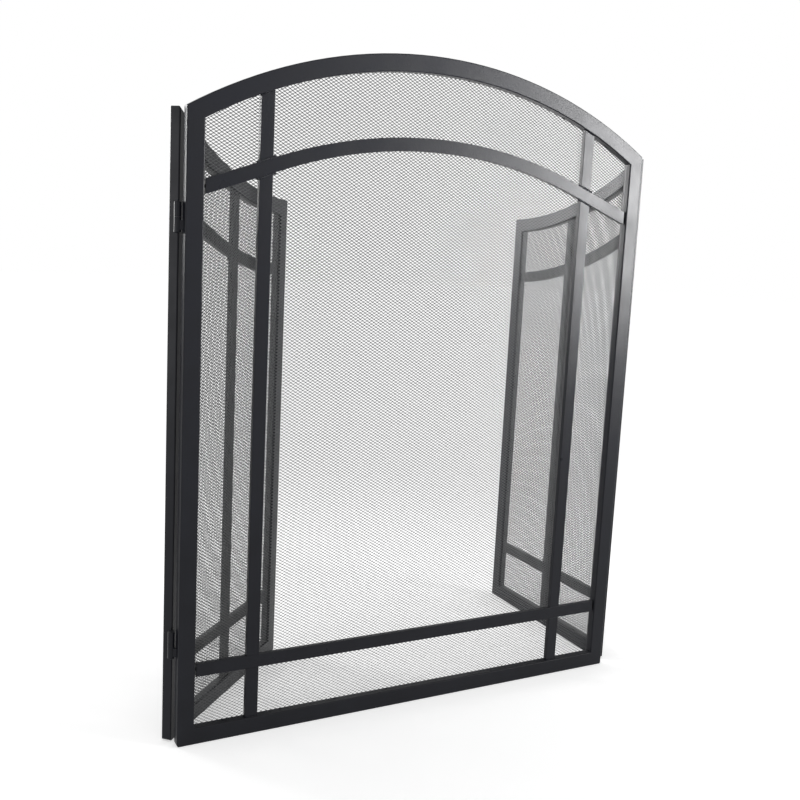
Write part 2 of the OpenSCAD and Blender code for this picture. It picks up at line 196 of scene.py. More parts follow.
camera_data = bpy.data.cameras.new("camera")
camera_data.lens = CAMERA_LENS
camera_data.clip_start = 0.01
camera = bpy.data.objects.new("camera", camera_data)
bpy.context.scene.collection.objects.link(camera)
camera.matrix_world = (
    Matrix.Translation(CAMERA_PLACE)
    @ Matrix.Rotation(math.radians(-CAMERA_TURN), 4, "Z")
    @ Matrix.Rotation(math.radians(90 - CAMERA_DIP), 4, "X")
    @ Matrix.Rotation(math.radians(CAMERA_TILT), 4, "Z")
)
bpy.context.scene.camera = camera
print("camera at", CAMERA_PLACE, "with a lens of", CAMERA_LENS, "mm")

# %% [markdown]
# Trees of nodes are wordy to build by hand, so four small helpers do it: one adds a node, one does
# arithmetic, one adds a noise texture, and one maps a span of values to another. A plain number
# goes onto a socket, and a socket of another node is wired to it.

# %% Helpers for node trees


def add(tree, kind, inputs=None, **settings):
    """A new node, with settings, and with its inputs given by name or number."""
    made = tree.nodes.new(kind)
    for name, value in settings.items():
        setattr(made, name, value)
    for key, value in (inputs or {}).items():
        socket = made.inputs[key]
        if isinstance(value, bpy.types.NodeSocket):
            tree.links.new(value, socket)
        else:
            socket.default_value = value
    return made


def sums(tree, operation, *values, clamp=False):
    """The result of one piece of arithmetic."""
    made = add(tree, "ShaderNodeMath", dict(enumerate(values)), operation=operation)
    made.use_clamp = clamp
    return made.outputs[0]


def noise(tree, where, scale, detail=3.0):
    """The grey value of a noise texture; scale is in cells per metre."""
    made = add(tree, "ShaderNodeTexNoise", {"Vector": where, "Scale": scale, "Detail": detail})
    return made.outputs["Fac"]


def between(tree, value, low, high, out_low, out_high):
    """Maps a value from one span to another and holds it at the ends."""
    made = add(tree, "ShaderNodeMapRange", {"Value": value, "From Min": low, "From Max": high,
                                            "To Min": out_low, "To Max": out_high})
    return made.outputs["Result"]


print("helpers for node trees are ready")


# %% [markdown]
# The whole screen is powder coated: a dry black powder is sprayed on and baked until it flows. Up
# close it isn't a flat black. It has a fine orange peel of a millimetre or two, it is a little
# glossier where the powder lies thick, and household dust settles on what faces up. One function
# makes all the paints, and each part gets its own mix: the tubes and hinges have a mild peel, the
# flat bars a stronger one, and the mesh and the welds are rougher, because powder clings to cut
# edges and to lumps.

# %% Mix the powder coats
DUST = 0.03
DUST_COLOUR = (0.30, 0.29, 0.275, 1)
THIN_COAT = 0.86
THICK_COAT = 1.14
PEEL_DEPTH = 0.0004
COAT_IOR = 1.5
# cells per metre of the noises: clouds of thick and thin powder, specks of dust, orange peel
CLOUDS = 28.0
SPECKS = 900.0
FINE_PEEL = 1100.0
COARSE_PEEL = 420.0
FINE_SHARE = 0.45


def powder_coat(name, tone, gloss_low, gloss_high, peel, sheen):
    """A black powder coat.

    tone is its colour, gloss_low and gloss_high are its roughness where it is thick and thin,
    peel is the strength of its orange peel, and sheen is how strongly it mirrors.
    """
    paint = bpy.data.materials.new(name)
    paint.use_nodes = True
    tree = paint.node_tree
    shader = tree.nodes["Principled BSDF"]
    where = add(tree, "ShaderNodeTexCoord").outputs["Object"]
    facing = add(tree, "ShaderNodeNewGeometry").outputs["Normal"]
    up = add(tree, "ShaderNodeSeparateXYZ", {"Vector": facing}).outputs["Z"]
    clouds = noise(tree, where, CLOUDS, 4.0)
    specks = noise(tree, where, SPECKS, 2.0)
    thick = between(tree, clouds, 0.35, 0.65, 0.0, 1.0)
    settled = sums(tree, "MULTIPLY", between(tree, up, 0.2, 0.95, 0.0, DUST),
                   between(tree, specks, 0.35, 0.7, 0.35, 1.0))
    dark = add(tree, "ShaderNodeMix", {"Factor": thick}, data_type="RGBA")
    dark.inputs["A"].default_value = (*[c * THIN_COAT for c in tone], 1)
    dark.inputs["B"].default_value = (*[c * THICK_COAT for c in tone], 1)
    dusty = add(tree, "ShaderNodeMix", {"Factor": settled}, data_type="RGBA")
    dusty.inputs["B"].default_value = DUST_COLOUR
    tree.links.new(dark.outputs["Result"], dusty.inputs["A"])
    tree.links.new(dusty.outputs["Result"], shader.inputs["Base Color"])
    gloss = sums(tree, "ADD", between(tree, clouds, 0.3, 0.7, gloss_high, gloss_low),
                 sums(tree, "MULTIPLY", settled, 0.5), clamp=True)
    tree.links.new(gloss, shader.inputs["Roughness"])
    fine = noise(tree, where, FINE_PEEL, 2.0)
    coarse = noise(tree, where, COARSE_PEEL, 2.0)
    skin = sums(tree, "ADD", sums(tree, "MULTIPLY", fine, FINE_SHARE), coarse)
    bump = add(tree, "ShaderNodeBump", {"Height": skin, "Strength": peel,
                                        "Distance": PEEL_DEPTH})
    tree.links.new(bump.outputs["Normal"], shader.inputs["Normal"])
    shader.inputs["IOR"].default_value = COAT_IOR
    shader.inputs["Specular IOR Level"].default_value = sheen
    return paint


BLACK = (0.0078, 0.0084, 0.0118)
MESH_BLACK = (0.070, 0.072, 0.074)
SHEEN = 0.18
MESH_SHEEN = 0.5
paints = {
    "frame_paint": powder_coat("frame_paint", BLACK, 0.30, 0.38, 0.20, SHEEN),
    "bar_paint": powder_coat("bar_paint", BLACK, 0.27, 0.37, 0.38, SHEEN),
    "mesh_paint": powder_coat("mesh_paint", MESH_BLACK, 0.40, 0.50, 0.15, MESH_SHEEN),
    "weld_paint": powder_coat("weld_paint", BLACK, 0.32, 0.42, 0.4, SHEEN),
    "hinge_paint": powder_coat("hinge_paint", BLACK, 0.28, 0.38, 0.2, SHEEN),
}
print("paints:", ", ".join(sorted(paints)))

# %% [markdown]
# The hinge pins are the only parts without paint: turned steel, blackened and oiled. It shows fine
# rings round its axis, and the oil makes it darker in places. The rings are an ordinary noise
# squeezed along the pin, which costs less than modelling grooves that nobody sees up close.

# %% Turn the pin steel
RING_SCALE = (120, 120, 5200)
RING_STRENGTH = 0.3
RING_DEPTH = 0.0001
OIL_FILM = 160.0
OILY_ROUGHNESS = 0.26
DRY_ROUGHNESS = 0.42
OIL_DARK = (0.05, 0.05, 0.052, 1)
OIL_PALE = (0.11, 0.108, 0.105, 1)
pin_steel = bpy.data.materials.new("pin_steel")
pin_steel.use_nodes = True
steel_tree = pin_steel.node_tree
steel = steel_tree.nodes["Principled BSDF"]
steel_where = add(steel_tree, "ShaderNodeTexCoord").outputs["Object"]
stretched = add(steel_tree, "ShaderNodeMapping", {"Vector": steel_where})
stretched.inputs["Scale"].default_value = RING_SCALE
rings = add(steel_tree, "ShaderNodeTexNoise", {"Vector": stretched.outputs[0], "Scale": 1.0})
film = noise(steel_tree, steel_where, OIL_FILM)
steel_colour = add(steel_tree, "ShaderNodeMix", {"Factor": film}, data_type="RGBA")
steel_colour.inputs["A"].default_value = OIL_DARK
steel_colour.inputs["B"].default_value = OIL_PALE
steel_tree.links.new(steel_colour.outputs["Result"], steel.inputs["Base Color"])
steel_rough = between(steel_tree, film, 0.3, 0.7, DRY_ROUGHNESS, OILY_ROUGHNESS)
steel_tree.links.new(steel_rough, steel.inputs["Roughness"])
steel_bump = add(steel_tree, "ShaderNodeBump", {
    "Height": rings.outputs["Fac"], "Strength": RING_STRENGTH, "Distance": RING_DEPTH})
steel_tree.links.new(steel_bump.outputs["Normal"], steel.inputs["Normal"])
steel.inputs["Metallic"].default_value = 1.0
paints["pin_steel"] = pin_steel
print("pin steel:", len(steel_tree.nodes), "nodes")

# %% [markdown]
# The tubes, bars and hinge barrels have the right shape already, but the CAD model's surface is
# made of loose flat triangles. A copy of each is joined up, its flat areas are made whole again,
# and it is shaded smooth except at its hard edges. The tubes were drawn with their rounded edges,
# so nothing more is needed. Weighting the shading by the size of the faces keeps the flats flat
# right up to the round.

# %% Soften and paint the tubes
JOIN_WITHIN = 0.002 * MM
FLAT_WITHIN = math.radians(0.4)
ROUND_OVER = math.radians(40)
SHARP_OVER = math.radians(35)


def link_piece(name, mesh):
    """A new object at the origin for a mesh whose place is already in it."""
    piece = bpy.data.objects.new(name, mesh)
    bpy.context.scene.collection.objects.link(piece)
    return piece


def softened(node, name, body, slot, edge=0.0):
    """Puts a joined-up copy of a CAD part, with rounded edges if wanted, in its place."""
    mesh = frame["nodes"][node].data.copy()
    mesh.name = name
    if "custom_normal" in mesh.attributes:
        mesh.attributes.remove(mesh.attributes["custom_normal"])
    shell = bmesh.new()
    shell.from_mesh(mesh)
    bmesh.ops.remove_doubles(shell, verts=shell.verts, dist=JOIN_WITHIN)
    bmesh.ops.dissolve_limit(shell, angle_limit=FLAT_WITHIN, verts=shell.verts,
                             edges=shell.edges)
    for face in shell.faces:
        face.smooth = True
    shell.to_mesh(mesh)
    shell.free()
    mesh.materials.clear()
    mesh.materials.append(paints[slot])
    piece = link_piece(name, mesh)
    if edge:
        rounding = piece.modifiers.new("rounding", "BEVEL")
        rounding.width = edge
        rounding.segments = 2
        rounding.limit_method = "ANGLE"
        rounding.angle_limit = ROUND_OVER
    else:
        mesh.set_sharp_from_angle(angle=SHARP_OVER)
    shading = piece.modifiers.new("flat shading", "WEIGHTED_NORMAL")
    shading.keep_sharp = True
    shading.weight = 100
    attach(piece, body)
    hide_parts(node)


WING_TUBES = ["hinge_stile", "free_stile", "top_rail", "bottom_rail"]
TUBES = {"centre": ["left_stile", "right_stile", "bottom_rail", "arch_rail"],
         "left": WING_TUBES, "right": WING_TUBES}
for side, parts in TUBES.items():
    for part in parts:
        softened(f"{side}_{part}", f"{side}_{part}_tube", bodies[side], "frame_paint")
print("tubes:", sum(len(parts) for parts in TUBES.values()))

# %% [markdown]
# Flat bar leaves the rolling mill with an edge of about half a millimetre, and the CAD drew it
# sharp. A bevel modifier rounds it on the copy, which catches a thin line of light, and the part's
# outer size stays as it was.

# %% Round the flat bars
LENGTHS = ("low", "mid", "top")
WING_BARS = ["curved_bar", "lower_bar"] + [f"upright_{length}" for length in LENGTHS]
BARS = {"centre": ["inner_arch", "lower_bar"]
        + [f"{hand}_upright_{length}" for hand in ("left", "right") for length in LENGTHS],
        "left": WING_BARS, "right": WING_BARS}
BAR_EDGE = 0.45 * MM
for side, parts in BARS.items():
    for part in parts:
        softened(f"{side}_{part}", f"{side}_{part}_flat", bodies[side], "bar_paint", BAR_EDGE)
print("flat bars:", sum(len(parts) for parts in BARS.values()))

# %% [markdown]
# The hinge barrels were drawn with their domed ends, so they are only smoothed, like the tubes. A
# pin needs no copy at all: it sits inside its barrels, and the CAD part itself takes the steel.

# %% Paint the hinge barrels and the pins
for side in ("left", "right"):
    for height in ("low", "high"):
        softened(f"{side}_{height}_knuckle", f"{side}_{height}_lower_barrel", "centre_panel",
                 "hinge_paint")
        softened(f"{side}_{height}_socket", f"{side}_{height}_upper_barrel", bodies[side],
                 "hinge_paint")
        pin = frame["nodes"][f"{side}_{height}_pin"]
        pin.data.materials.clear()
        pin.data.materials.append(paints["pin_steel"])
print("hinges: 4, with a lower and an upper barrel each")

# %% [markdown]
# Expanded metal isn't woven. A sheet is slit in staggered rows and pulled, so that each slit opens
# into a diamond and the sheet turns into strands that zigzag past each other and touch at the
# knuckles. That is also the simplest way to build it: every row is one zigzag line, each row is
# shifted half a diamond from the one below, and a thin profile is swept along all of them. A grid
# of points makes hundreds of rows at once, and what falls outside the opening is cut away. The
# pull also tips every strand a little, like the slats of a blind: its upper edge stands forward of
# its lower edge.

# %% Sizes of the mesh
MESH_LONG = 6.1 * MM
MESH_SHORT = 3.7 * MM
STRAND = 0.74 * MM
TIP = 0.42 * MM
KNUCKLE = 1.0 * MM
INTO_TUBE = 0.9 * MM
MESH_DEPTH = mesh_back - mesh_front
print("diamonds of", round(MESH_LONG / MM, 1), "x", round(MESH_SHORT / MM, 1), "mm, strands of",
      round(STRAND / MM, 2), "mm")

# %% [markdown]
# The mesh is grown by a Geometry Nodes tree. A tree has named inputs, like the sliders of a CAD
# model, so that the same tree serves all three panels. One helper adds the inputs and hands out
# their sockets, and the other ends a tree with its paint.

# %% Helpers that open and close a tree


def inputs_of(tree, wanted):
    """Gives a Geometry Nodes tree its named inputs, and returns the node that hands them out."""
    for name, kind in wanted:
        tree.interface.new_socket(name, in_out="INPUT", socket_type="NodeSocket" + kind)
    tree.interface.new_socket("Geometry", in_out="OUTPUT", socket_type="NodeSocketGeometry")
    return tree.nodes.new("NodeGroupInput").outputs


def finish_tree(tree, geometry, paint):
    """Ends a tree: the geometry is painted and handed out."""
    painted = add(tree, "GeometryNodeSetMaterial", {"Geometry": geometry, "Material": paint})
    result = tree.nodes.new("NodeGroupOutput")
    tree.links.new(painted.outputs[0], result.inputs[0])
    return tree


print("trees can be opened and closed")

# %% [markdown]
# The tree starts from a flat grid with one point for each corner of a strand: four columns to a
# diamond, one row to a zigzag line. It drops the grid's upright edges, so that only the rows are
# left, and numbers every point by its column and its row.

# %% Count the points of a grid of rows
CORNERS = 4.0


def counted_rows(tree, given):
    """A grid without its upright edges, and the column and row number of its points."""
    wide = sums(tree, "SUBTRACT", given["Columns"], 1.0)
    tall = sums(tree, "SUBTRACT", given["Rows"], 1.0)
    grid = add(tree, "GeometryNodeMeshGrid", {"Size X": wide, "Size Y": tall,
                                              "Vertices X": given["Columns"],
                                              "Vertices Y": given["Rows"]})
    ends = add(tree, "GeometryNodeInputMeshEdgeVertices")
    first = add(tree, "ShaderNodeSeparateXYZ", {"Vector": ends.outputs["Position 1"]})
    second = add(tree, "ShaderNodeSeparateXYZ", {"Vector": ends.outputs["Position 2"]})
    climb = sums(tree, "ABSOLUTE", sums(tree, "SUBTRACT", first.outputs["Y"], second.outputs["Y"]))
    rows = add(tree, "GeometryNodeDeleteGeometry", {
        "Geometry": grid.outputs["Mesh"], "Selection": sums(tree, "GREATER_THAN", climb, 0.5)},
        domain="EDGE", mode="EDGE_FACE")
    here = add(tree, "ShaderNodeSeparateXYZ", {
        "Vector": add(tree, "GeometryNodeInputPosition").outputs["Position"]})
    column = sums(tree, "ROUND", sums(tree, "ADD", here.outputs["X"],
                                      sums(tree, "MULTIPLY", wide, 0.5)))
    row = sums(tree, "ADD", sums(tree, "ROUND", sums(tree, "ADD", here.outputs["Y"],
                                                     sums(tree, "MULTIPLY", tall, 0.5))),
               given["First row"])
    return rows.outputs[0], column, row


print(int(CORNERS), "points make one diamond of a row")

# %% [markdown]
# Each point then moves to its corner of the zigzag. Going along a row the strand runs low, climbs,
# runs high and falls, and the level parts are the knuckles where it touches its neighbours. Every
# other row is shifted by half a diamond. The strands overlap a little at the knuckles, as the
# metal there was never cut.

# %% Bend the rows into zigzags
OVERLAP = 0.96


def zigzag(tree, given, rows, column, row):
    """The rows with every point moved to its corner of the expanded metal."""
    corner = sums(tree, "FLOORED_MODULO", column, CORNERS)
    diamond = sums(tree, "DIVIDE", sums(tree, "SUBTRACT", column, corner), CORNERS)
    high = sums(tree, "GREATER_THAN", corner, 1.5)
    late = sums(tree, "FLOORED_MODULO", corner, 2.0)
    shifted = sums(tree, "FLOORED_MODULO", row, 2.0)
    halves = sums(tree, "MULTIPLY", sums(tree, "ADD", high, shifted), 0.5)
    along = sums(tree, "MULTIPLY", sums(tree, "ADD", diamond, halves), given["Long way"])
    x = sums(tree, "ADD", sums(tree, "ADD", given["Left"], along),
             sums(tree, "MULTIPLY", sums(tree, "SUBTRACT", late, 0.5), given["Knuckle"]))
    half_short = sums(tree, "MULTIPLY", given["Short way"], 0.5)
    rise = sums(tree, "SUBTRACT", half_short, sums(tree, "MULTIPLY", given["Strand"], OVERLAP))
    base = sums(tree, "ADD", given["Bottom"], sums(tree, "MULTIPLY", row, half_short))
    z = sums(tree, "ADD", base, sums(tree, "MULTIPLY", sums(tree, "SUBTRACT", high, 0.5), rise))
    place = add(tree, "ShaderNodeCombineXYZ", {"X": x, "Y": z})
    return add(tree, "GeometryNodeSetPosition", {"Geometry": rows,
                                                 "Position": place.outputs[0]}).outputs[0]


print("neighbouring strands share", round((1 - OVERLAP) * STRAND / MM, 2), "mm at a knuckle")

# %% [markdown]
# What falls outside the opening is deleted. Three sides are straight, and the fourth is the circle
# from the description of the opening. Its sense says whether the opening lies inside the circle,
# as in the centre panel, or outside it, as in a wing.

# %% Cut the rows to the opening


def cut_to_opening(tree, given, lines):
    """The lines without their points past two verticals, a floor line and a circle."""
    now = add(tree, "ShaderNodeSeparateXYZ", {
        "Vector": add(tree, "GeometryNodeInputPosition").outputs["Position"]})
    span = sums(tree, "POWER", sums(tree, "SUBTRACT", now.outputs["X"], given["Circle x"]), 2.0)
    lift = sums(tree, "POWER", sums(tree, "SUBTRACT", now.outputs["Y"], given["Circle z"]), 2.0)
    away = sums(tree, "SUBTRACT", sums(tree, "SQRT", sums(tree, "ADD", span, lift)),
                given["Circle radius"])
    over_arch = sums(tree, "GREATER_THAN", sums(tree, "MULTIPLY", away, given["Sense"]), 0.0)
    outside = sums(tree, "GREATER_THAN", now.outputs["X"], given["Right"])
    for test in (over_arch, sums(tree, "LESS_THAN", now.outputs["X"], given["Left"]),
                 sums(tree, "LESS_THAN", now.outputs["Y"], given["Floor"])):
        outside = sums(tree, "MAXIMUM", outside, test)
    return add(tree, "GeometryNodeDeleteGeometry", {"Geometry": lines, "Selection": outside},
               domain="POINT", mode="ALL").outputs[0]


print("openings to cut to:", ", ".join(openings))

# %% [markdown]
# Last comes the sweep. The profile has only three points, because each is repeated more than two
# hundred thousand times: the upper edge at the front of the sheet, the lower edge tipped back from
# it, and a ridge between the two at the back. It starts as a circle of three points, which are
# then set one by one. The swept rows lie flat on the floor and are turned up into the panel.

# %% Sweep the strands and stand them up


def swept_strands(tree, given, lines):
    """Strands with a tipped three-point profile along the lines, standing in the panel."""
    curves = add(tree, "GeometryNodeMeshToCurve", {"Mesh": lines})
    level = add(tree, "GeometryNodeSetCurveNormal", {"Curve": curves.outputs[0]}, mode="Z_UP")
    triangle = add(tree, "GeometryNodeCurvePrimitiveCircle", {"Resolution": 3, "Radius": 1.0})
    number = add(tree, "GeometryNodeInputIndex").outputs[0]
    upper, lower, ridge = (sums(tree, "COMPARE", number, point, 0.5) for point in (0.0, 1.0, 2.0))
    across = sums(tree, "MULTIPLY", sums(tree, "SUBTRACT", lower, upper),
                  sums(tree, "MULTIPLY", given["Strand"], 0.5))
    inward = sums(tree, "ADD", sums(tree, "MULTIPLY", lower, given["Tip"]),
                  sums(tree, "MULTIPLY", sums(tree, "SUBTRACT", ridge, 0.5), given["Depth"]))
    shape = add(tree, "ShaderNodeCombineXYZ", {"X": across, "Y": inward})
    profile = add(tree, "GeometryNodeSetPosition", {"Geometry": triangle.outputs["Curve"],
                                                    "Position": shape.outputs[0]})
    swept = add(tree, "GeometryNodeCurveToMesh", {
        "Curve": level.outputs[0], "Profile Curve": profile.outputs[0], "Fill Caps": True})
    back = add(tree, "ShaderNodeCombineXYZ", {
        "Y": sums(tree, "SUBTRACT", given["Back"], sums(tree, "DIVIDE", given["Depth"], 2.0))})
    upright = add(tree, "GeometryNodeTransform", {
        "Geometry": swept.outputs[0], "Rotation": (math.radians(90), 0, 0),
        "Translation": back.outputs[0]})
    return upright.outputs[0]


def expanded_metal():
    """Rows of zigzag strands inside two verticals, a floor line and a circle."""
    tree = bpy.data.node_groups.new("expanded metal", "GeometryNodeTree")
    given = inputs_of(tree, [
        ("Geometry", "Geometry"), ("Columns", "Int"), ("Rows", "Int"), ("First row", "Int"),
        ("Left", "Float"), ("Right", "Float"), ("Bottom", "Float"), ("Floor", "Float"),
        ("Long way", "Float"), ("Short way", "Float"), ("Strand", "Float"), ("Tip", "Float"),
        ("Knuckle", "Float"), ("Depth", "Float"), ("Back", "Float"), ("Circle x", "Float"),
        ("Circle z", "Float"), ("Circle radius", "Float"), ("Sense", "Float"),
        ("Paint", "Material"),
    ])
    bent = zigzag(tree, given, *counted_rows(tree, given))
    strands = swept_strands(tree, given, cut_to_opening(tree, given, bent))
    return finish_tree(tree, strands, given["Paint"])


mesh_tree = expanded_metal()
print("mesh tree:", len(mesh_tree.nodes), "nodes")

# %% [markdown]
# A modifier holds its inputs under the sockets' identifiers, so a helper looks each name up and
# turns the evaluated result into a plain mesh. Another moves a mesh from its panel's own frame to
# where the panel stands. The left wing's frame is mirrored, which would turn its faces inside out,
# so they are flipped back.

# %% Helpers that run a tree and keep its result


def grown(name, tree, values, start=None):
    """The plain mesh that a Geometry Nodes tree makes from a start mesh and named values."""
    seed = link_piece(name + " seed", start or bpy.data.meshes.new(name + " seed"))
    modifier = seed.modifiers.new("grow", "NODES")
    modifier.node_group = tree
    for item in tree.interface.items_tree:
        if item.item_type == "SOCKET" and item.in_out == "INPUT" and item.name in values:
            modifier[item.identifier] = values[item.name]
    bpy.context.view_layer.update()
    ready = seed.evaluated_get(bpy.context.evaluated_depsgraph_get())
    mesh = bpy.data.meshes.new_from_object(ready)
    mesh.name = name
    seed.modifiers.remove(modifier)
    bpy.data.objects.remove(seed)
    return mesh


def settle(mesh, side):
    """Puts a mesh made in a panel's own frame where that panel stands."""
    mesh.transform(places[side])
    if places[side].determinant() < 0:
        mesh.flip_normals()
    return mesh


def triangles_in(mesh):
    """How many triangles a mesh has once its faces are split."""
    return sum(len(face.vertices) - 2 for face in mesh.polygons)


print("ready to grow meshes")

# %% [markdown]
# One sheet of this mesh has more triangles than a single piece should, so each panel's sheet is
# made in a few level bands. The rows of neighbouring bands follow on, so no seam shows.

# %% Expand the mesh into the three openings
BANDS = {"centre": 6, "left": 2, "right": 2}


def mesh_bands(side):
    """The expanded mesh of one panel, in bands, each a piece of its own."""
    hole = openings[side]
    rows = math.ceil((hole["z1"] - hole["z0"]) / (MESH_SHORT / 2)) + 1
    columns = int(CORNERS) * (math.ceil((hole["x1"] - hole["x0"]) / MESH_LONG) + 1)
    made = []
    edges = [round(rows * step / BANDS[side]) for step in range(BANDS[side] + 1)]
    for band, (first, last) in enumerate(zip(edges, edges[1:])):
        mesh = grown(f"{side}_mesh_band_{band + 1}", mesh_tree, {
            "Columns": columns, "Rows": last - first, "First row": first,
            "Left": hole["x0"] - INTO_TUBE, "Right": hole["x1"] + INTO_TUBE,
            "Bottom": hole["z0"] - INTO_TUBE, "Floor": hole["z0"] - INTO_TUBE,
            "Long way": MESH_LONG, "Short way": MESH_SHORT, "Strand": STRAND,
            "Tip": TIP, "Knuckle": KNUCKLE, "Depth": MESH_DEPTH, "Back": mesh_back,
            "Circle x": hole["cx"], "Circle z": hole["cz"],
            "Circle radius": hole["r"] + hole["sense"] * INTO_TUBE, "Sense": float(hole["sense"]),
            "Paint": paints["mesh_paint"],
        })
        if not mesh.polygons:
            bpy.data.meshes.remove(mesh)
            continue
        piece = link_piece(mesh.name, settle(mesh, side))
        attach(piece, bodies[side])
        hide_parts(f"{side}_mesh")
        made.append(triangles_in(mesh))
    print(side, "mesh:", made, "triangles in its bands")


for side in openings:
    mesh_bands(side)

# %% [markdown]
# The bars are held by small welds. Where an upright meets the curved bar a short bead runs along
# the joint on the room side, and the cross bars' ends, which stop a little short of the stiles,
# are bridged by a tack each. A weld bead is a row of overlapping ripples. One tree lays them: it
# walks along any line in even steps and sets a slightly squashed, slightly turned lump at each,
# with a fixed seed so that the welds come out the same each time.

# %% Build the node tree that lays weld beads
WHOLE_TURN = 6.28
SMALL_LUMP = 0.72
LARGE_LUMP = 1.12


def weld_beads():
    """Lumps of weld along the edges of the start mesh."""
    tree = bpy.data.node_groups.new("weld beads", "GeometryNodeTree")
    given = inputs_of(tree, [("Geometry", "Geometry"), ("Ripple", "Float"), ("Bead", "Float"),
                             ("Seed", "Int"), ("Paint", "Material")])
    lines = add(tree, "GeometryNodeMeshToCurve", {"Mesh": given["Geometry"]})
    stops = add(tree, "GeometryNodeCurveToPoints", {"Curve": lines.outputs[0],
                                                    "Length": given["Ripple"]}, mode="LENGTH")
    lump = add(tree, "GeometryNodeMeshIcoSphere", {"Radius": given["Bead"], "Subdivisions": 2})
    turn = add(tree, "FunctionNodeRandomValue", {"Seed": given["Seed"]}, data_type="FLOAT_VECTOR")
    turn.inputs["Max"].default_value = (WHOLE_TURN,) * 3
    size = add(tree, "FunctionNodeRandomValue", {"Seed": given["Seed"]}, data_type="FLOAT_VECTOR")
    size.inputs["Min"].default_value = (SMALL_LUMP,) * 3
    size.inputs["Max"].default_value = (LARGE_LUMP,) * 3
    spread = add(tree, "GeometryNodeInstanceOnPoints", {
        "Points": stops.outputs["Points"], "Instance": lump.outputs["Mesh"],
        "Rotation": turn.outputs[0], "Scale": size.outputs[0]})
    real = add(tree, "GeometryNodeRealizeInstances", {"Geometry": spread.outputs[0]})
    smooth = add(tree, "GeometryNodeSetShadeSmooth", {"Geometry": real.outputs[0]})
    return finish_tree(tree, smooth.outputs[0], given["Paint"])


weld_tree = weld_beads()
print("weld tree:", len(weld_tree.nodes), "nodes")

# %% [markdown]
# The welds need the height of the curved bars. It comes from a bar's circle, which has the same
# radius as the arch. The centre panel's inner arch follows its circle only over the middle and
# runs out straight toward both ends. The slope of the straight part is found from the height of
# its lower corner at the end.

# %% Follow the curved bars


def bar_circle(side):
    """The middle height of the circle that a panel's curved bar follows along its top edge."""
    if side == "centre":
        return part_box("centre_inner_arch")[1].z - arch_radius
    hole = openings[side]
    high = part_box(f"{side}_curved_bar")[1].z
    end = hole["x0"] + bar_gap
    return high + math.sqrt(arch_radius ** 2 - (hole["cx"] - end) ** 2)


bar_gap = half_width - tube_face - bar_high.x
corner_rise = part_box("centre_inner_arch")[0].z - bar_circle("centre")
straight_slope = (math.asin((arch_radius - bar_face) / math.hypot(bar_high.x, corner_rise))
                  - math.atan2(corner_rise, bar_high.x))
print("inner arch runs out straight at", round(math.degrees(straight_slope), 2), "degrees")


def curve_height(side, x, drop):
    """The height at x of the curved bar's top edge, or of its lower edge with drop = bar_face."""
    if side == "centre":
        radius = arch_radius - drop
        if abs(x) < radius * math.sin(straight_slope):
            return bar_circle(side) + math.sqrt(radius ** 2 - x ** 2)
        return (bar_circle(side) + radius / math.cos(straight_slope)
                - abs(x) * math.tan(straight_slope))
    hole = openings[side]
    return bar_circle(side) - math.sqrt((arch_radius + drop) ** 2 - (x - hole["cx"]) ** 2)


def uprights_of(side):
    """The middle of each upright bar of a panel, along the panel."""
    if side == "centre":
        return [middle_of(f"centre_{hand}_upright_mid").x for hand in ("left", "right")]
    return [out_from_hinge(side, f"{side}_upright_mid")]


for side in openings:
    print(side, "uprights at", [round(x / MM, 1) for x in uprights_of(side)], "mm; curved bar at",
          round(curve_height(side, uprights_of(side)[0], 0.0) / MM, 1), "mm")

# %% [markdown]
# The lines to weld are worked out in each panel's own frame. At a crossing the bead follows the
# edge of the curved bar and runs a little past the upright on both sides. In the corners against
# the tubes it is short and stays inside the upright's width. A tack spans the gap at a bar's end.

# %% Find the lines to weld
CROSSING_LIFT = 0.9 * MM
CROSSING_OVERRUN = 2.0 * MM
CROSSING_SHIFT = 0.6 * MM
RIM_INSET = 3.0 * MM
TACK_DEPTH = 1.5 * MM
TACK_GRIP = 0.3 * MM


def crossing_lines(side):
    """Short lines across each upright on the room side, above and below the curved bar."""
    face = bar_front + CROSSING_LIFT
    half = bar_face / 2 + CROSSING_OVERRUN
    lines = []
    for x in uprights_of(side):
        for drop, shift in ((0.0, CROSSING_SHIFT), (bar_face, -CROSSING_SHIFT)):
            lines.append([
                (x + t * half, face, curve_height(side, x + t * half, drop) + shift)
                for t in (-1.0, -0.5, 0.0, 0.5, 1.0)])
    return lines


def rim_lines(side):
    """Short lines in the corners where the uprights end at the tubes above and below them."""
    half = bar_face / 2 - RIM_INSET
    lines = []
    for x in uprights_of(side):
        ends = (x - half, x + half)
        lines.append([(at, bar_front, tube_face) for at in ends])
        lines.append([(at, bar_front, rim_height(side, at)) for at in ends])
    return lines


def tack_lines(side):
    """Lines across the gaps between the cross bars' ends and the stiles."""
    hole = openings[side]
    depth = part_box("centre_bar_tacks")[0].y + TACK_DEPTH
    lines = []
    for edge, inward in ((hole["x0"], 1), (hole["x1"], -1)):
        tip = edge + inward * (bar_gap + TACK_GRIP)
        heights = [(bar_low.z + bar_high.z) / 2,
                   (curve_height(side, tip, 0.0) + curve_height(side, tip, bar_face)) / 2]
        for z in heights:
            lines.append([(edge, depth, z), (tip, depth, z)])
    return lines


for side in openings:
    print(side, "lines to weld:",
          len(crossing_lines(side)) + len(rim_lines(side)) + len(tack_lines(side)))

# %% [markdown]
# A welder's bead differs with the joint: a fat one across a crossing, a fine one in the corner
# against a tube, a short tack at a bar's end. So each kind has a step from ripple to ripple, a bead
# radius and a seed of its own. The CAD draws the tacks as plain blocks, and the beads laid there
# take their place.

